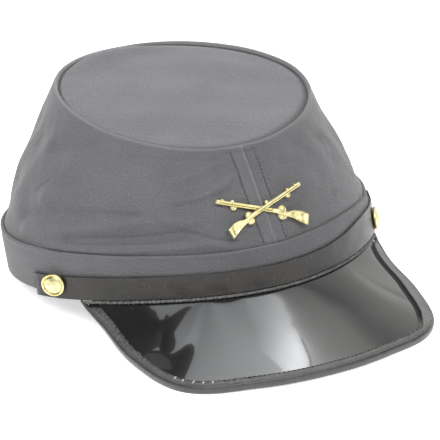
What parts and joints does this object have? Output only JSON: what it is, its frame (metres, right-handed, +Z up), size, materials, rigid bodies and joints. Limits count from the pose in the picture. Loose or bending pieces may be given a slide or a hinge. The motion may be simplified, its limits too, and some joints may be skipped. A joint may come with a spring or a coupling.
{
  "type": "kepi cap",
  "caption": "Kepi cap: sunk oval cloth top on a tapering crown, cloth head band, vinyl chin strap on star buttons, bound glossy peak and a crossed-rifles badge.",
  "frame": {"origin": "Centre of the footprint's bounding box, on the surface the cap rests on.", "axes": "+Z is up and the peak points along -Y. The wearer's right is -X. The cap is leant back as it rests on its peak's corners and the back of its band."},
  "size_m": [0.204, 0.245, 0.1029],
  "materials": {
    "grey_cloth": "matt brushed twill",
    "grey_cloth_top": "matt brushed twill",
    "strap_vinyl": "semi-gloss",
    "peak_vinyl": "high gloss",
    "edge_vinyl": "semi-gloss",
    "brass": "stamped and polished"
  },
  "bodies": {
    "root": {"crown_side": "grey_cloth", "crown_top": "grey_cloth_top", "band": "grey_cloth", "chin_strap": "strap_vinyl", "button_right": "brass", "button_left": "brass", "peak": "peak_vinyl", "peak_binding": "edge_vinyl", "peak_welt": "edge_vinyl", "crossed_rifles_badge": "brass"}
  },
  "joints": []
}
